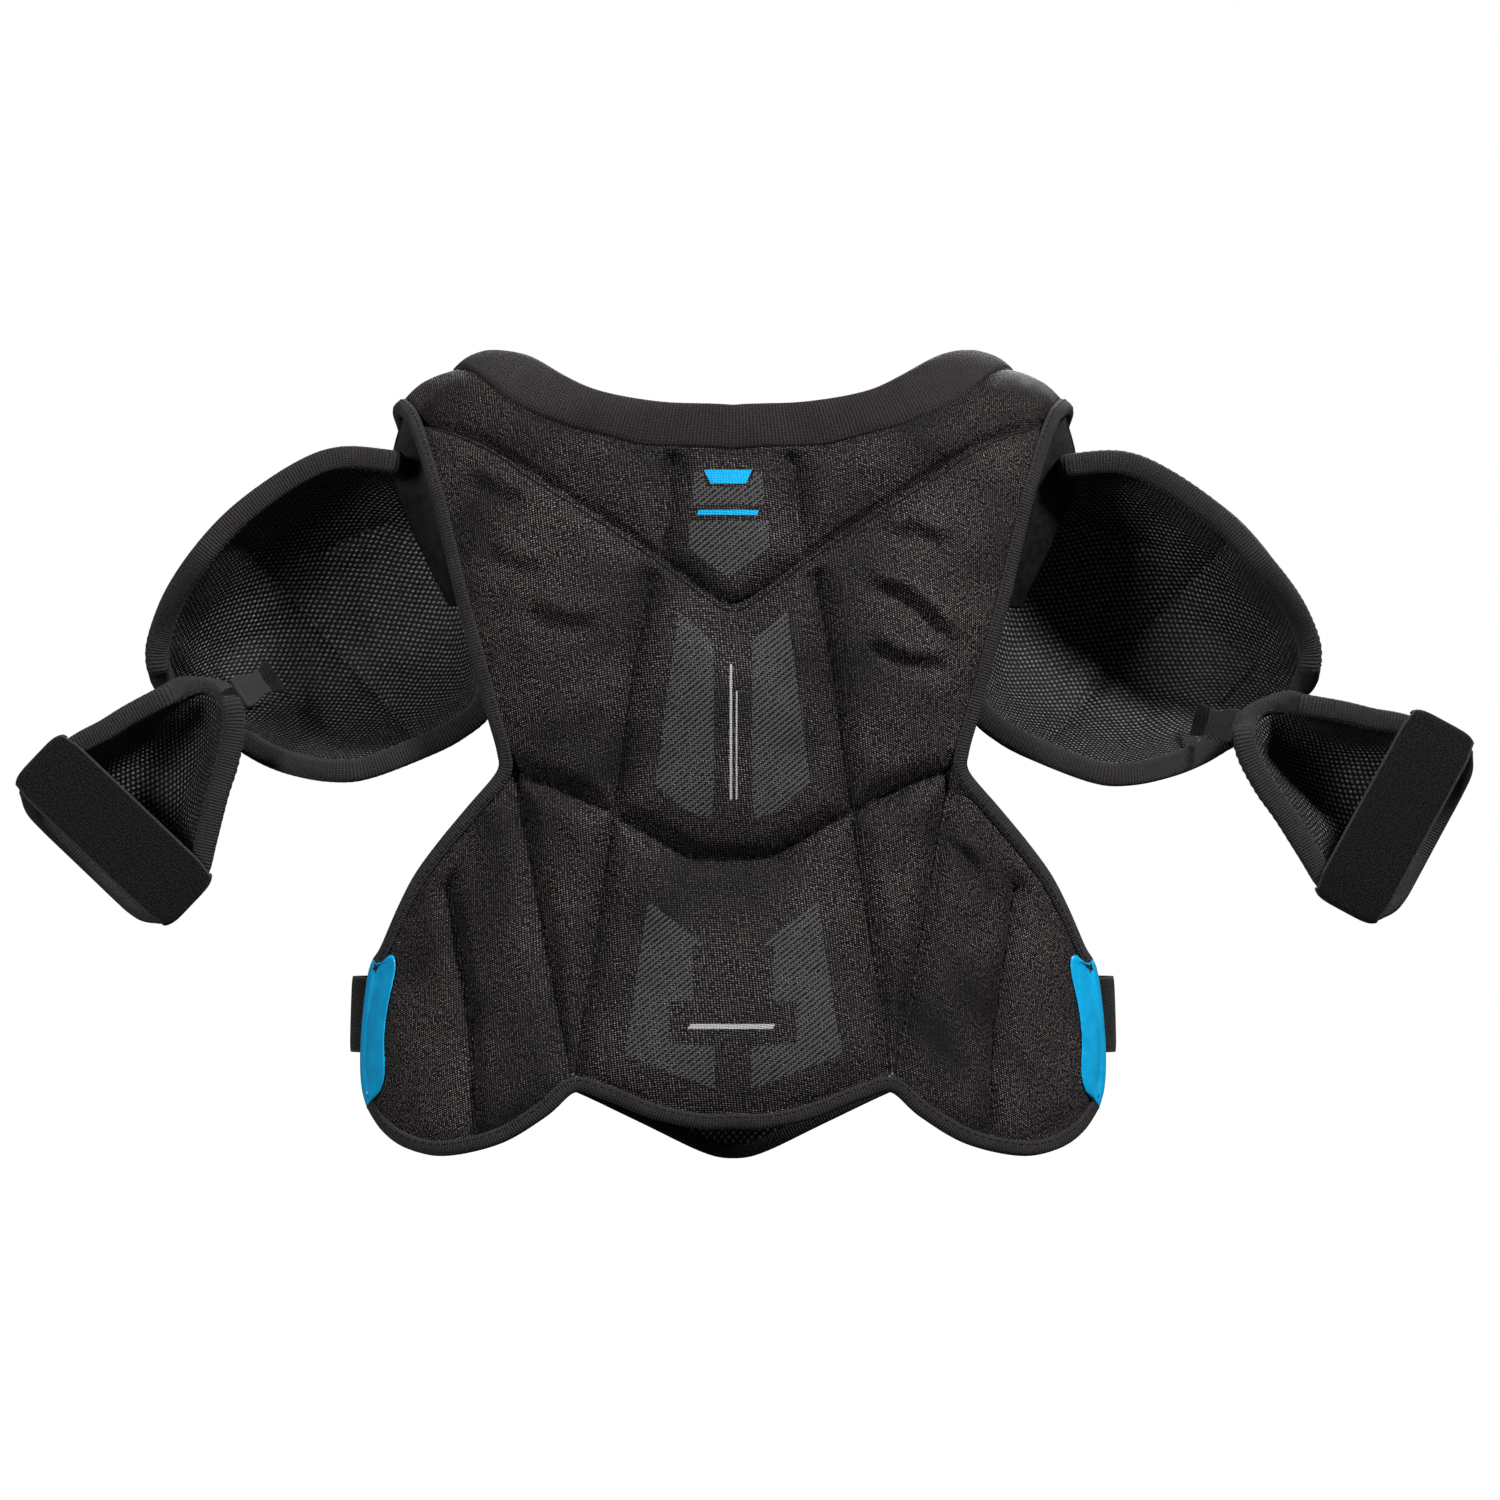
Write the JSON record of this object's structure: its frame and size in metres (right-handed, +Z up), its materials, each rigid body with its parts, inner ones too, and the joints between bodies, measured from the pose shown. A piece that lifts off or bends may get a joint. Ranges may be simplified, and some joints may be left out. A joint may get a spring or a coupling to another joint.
{
  "type": "hockey shoulder pads",
  "caption": "Ice hockey shoulder pads: quilted back and chest panels joined over the shoulders, hinged shoulder caps, strapped upper-arm guards and elastic side straps.",
  "frame": {"origin": "midway between the shoulders, at the height where the yoke rests on them, between the back panel and the chest panel", "axes": "+X to the wearer's right, across the shoulders; +Y forwards, from the back panel to the chest panel; +Z up"},
  "size_m": [0.736, 0.1838, 0.4079],
  "materials": {
    "cover_fabric": "black twill with a fine pale fleck",
    "spacer_mesh": "black spacer mesh with glossy dots",
    "binding_tape": "ribbed grosgrain, dark brown-grey",
    "collar_knit": "ribbed knit, dark grey",
    "foam": "closed-cell foam",
    "insert_plastic": "matt moulded",
    "elastic": "brushed loop elastic, matt",
    "blue_film": "bright blue printed film, satin",
    "neoprene": "smooth skin"
  },
  "bodies": {
    "torso": {"back_cover": "cover_fabric", "back_liner": "spacer_mesh", "yoke_cover": "cover_fabric", "yoke_liner": "spacer_mesh", "back_binding": "binding_tape", "spine_plate": "insert_plastic", "neck_foam": "foam", "spine_foam": "foam", "lumbar_foam": "foam", "left_blade_foam": "foam", "right_blade_foam": "foam", "left_wing_foam": "foam", "right_wing_foam": "foam", "left_yoke_foam": "foam", "right_yoke_foam": "foam", "rear_collar_band": "collar_knit", "wing_patches": "blue_film", "side_strap_anchors": "elastic"},
    "chest_panel": {"chest_cover": "cover_fabric", "chest_liner": "spacer_mesh", "chest_binding": "binding_tape", "sternum_plate": "insert_plastic", "sternum_foam": "foam", "left_chest_foam": "foam", "right_chest_foam": "foam", "belly_foam": "foam", "front_collar_band": "collar_knit", "loop_patches": "elastic"},
    "left_tether": {"left_shoulder_flap": "neoprene"},
    "left_shoulder_cap": {"left_cap_cover": "cover_fabric", "left_cap_plate": "insert_plastic", "left_cap_liner": "spacer_mesh", "left_cap_binding": "binding_tape", "left_link_patch": "elastic"},
    "left_arm_guard": {"left_guard_cover": "cover_fabric", "left_guard_plate": "insert_plastic", "left_guard_liner": "spacer_mesh", "left_guard_binding": "binding_tape", "left_elastic_link": "elastic", "left_arm_strap_anchor": "elastic"},
    "left_arm_closure": {"left_arm_strap": "elastic", "left_arm_strap_tab": "elastic"},
    "left_side_closure": {"left_side_strap": "elastic", "left_side_strap_tab": "blue_film"},
    "right_tether": {"right_shoulder_flap": "neoprene"},
    "right_shoulder_cap": {"right_cap_cover": "cover_fabric", "right_cap_plate": "insert_plastic", "right_cap_liner": "spacer_mesh", "right_cap_binding": "binding_tape", "right_link_patch": "elastic"},
    "right_arm_guard": {"right_guard_cover": "cover_fabric", "right_guard_plate": "insert_plastic", "right_guard_liner": "spacer_mesh", "right_guard_binding": "binding_tape", "right_elastic_link": "elastic", "right_arm_strap_anchor": "elastic"},
    "right_arm_closure": {"right_arm_strap": "elastic", "right_arm_strap_tab": "elastic"},
    "right_side_closure": {"right_side_strap": "elastic", "right_side_strap_tab": "blue_film"}
  },
  "joints": [
    {"name": "chest_fold", "type": "hinge", "parent": "torso", "child": "chest_panel", "pos_m": [0, 0.04, -0.018], "axis": [1, 0, 0], "range_deg": [-12, 0]},
    {"name": "left_cap_raise", "type": "hinge", "parent": "torso", "child": "left_tether", "pos_m": [-0.15, -0.017, -0.03], "axis": [0, 1, 0], "range_deg": [-4, 55]},
    {"name": "left_cap_swing", "type": "hinge", "parent": "left_tether", "child": "left_shoulder_cap", "pos_m": [-0.168, -0.017, -0.088], "axis": [0, 1, 0], "range_deg": [-8, 0]},
    {"name": "left_elbow_bend", "type": "hinge", "parent": "left_shoulder_cap", "child": "left_arm_guard", "pos_m": [-0.25, 0, -0.165], "axis": [0, 1, 0], "range_deg": [-12, 36]},
    {"name": "left_arm_strap_open", "type": "hinge", "parent": "left_arm_guard", "child": "left_arm_closure", "pos_m": [-0.27078, -0.04375, -0.26746], "axis": [0.6884, 0, 0.7254], "range_deg": [0, 100]},
    {"name": "left_side_strap_open", "type": "hinge", "parent": "torso", "child": "left_side_closure", "pos_m": [-0.186, -0.024, -0.323], "axis": [0, 0, 1], "range_deg": [0, 100]},
    {"name": "right_cap_raise", "type": "hinge", "parent": "torso", "child": "right_tether", "pos_m": [0.15, -0.017, -0.03], "axis": [0, -1, 0], "range_deg": [-4, 55]},
    {"name": "right_cap_swing", "type": "hinge", "parent": "right_tether", "child": "right_shoulder_cap", "pos_m": [0.168, -0.017, -0.088], "axis": [0, -1, 0], "range_deg": [-8, 0]},
    {"name": "right_elbow_bend", "type": "hinge", "parent": "right_shoulder_cap", "child": "right_arm_guard", "pos_m": [0.254, 0, -0.18], "axis": [0, -1, 0], "range_deg": [-30, 14]},
    {"name": "right_arm_strap_open", "type": "hinge", "parent": "right_arm_guard", "child": "right_arm_closure", "pos_m": [0.30542, -0.04375, -0.27102], "axis": [0.8788, 0, -0.4772], "range_deg": [0, 100]},
    {"name": "right_side_strap_open", "type": "hinge", "parent": "torso", "child": "right_side_closure", "pos_m": [0.186, -0.024, -0.323], "axis": [0, 0, -1], "range_deg": [0, 100]}
  ]
}
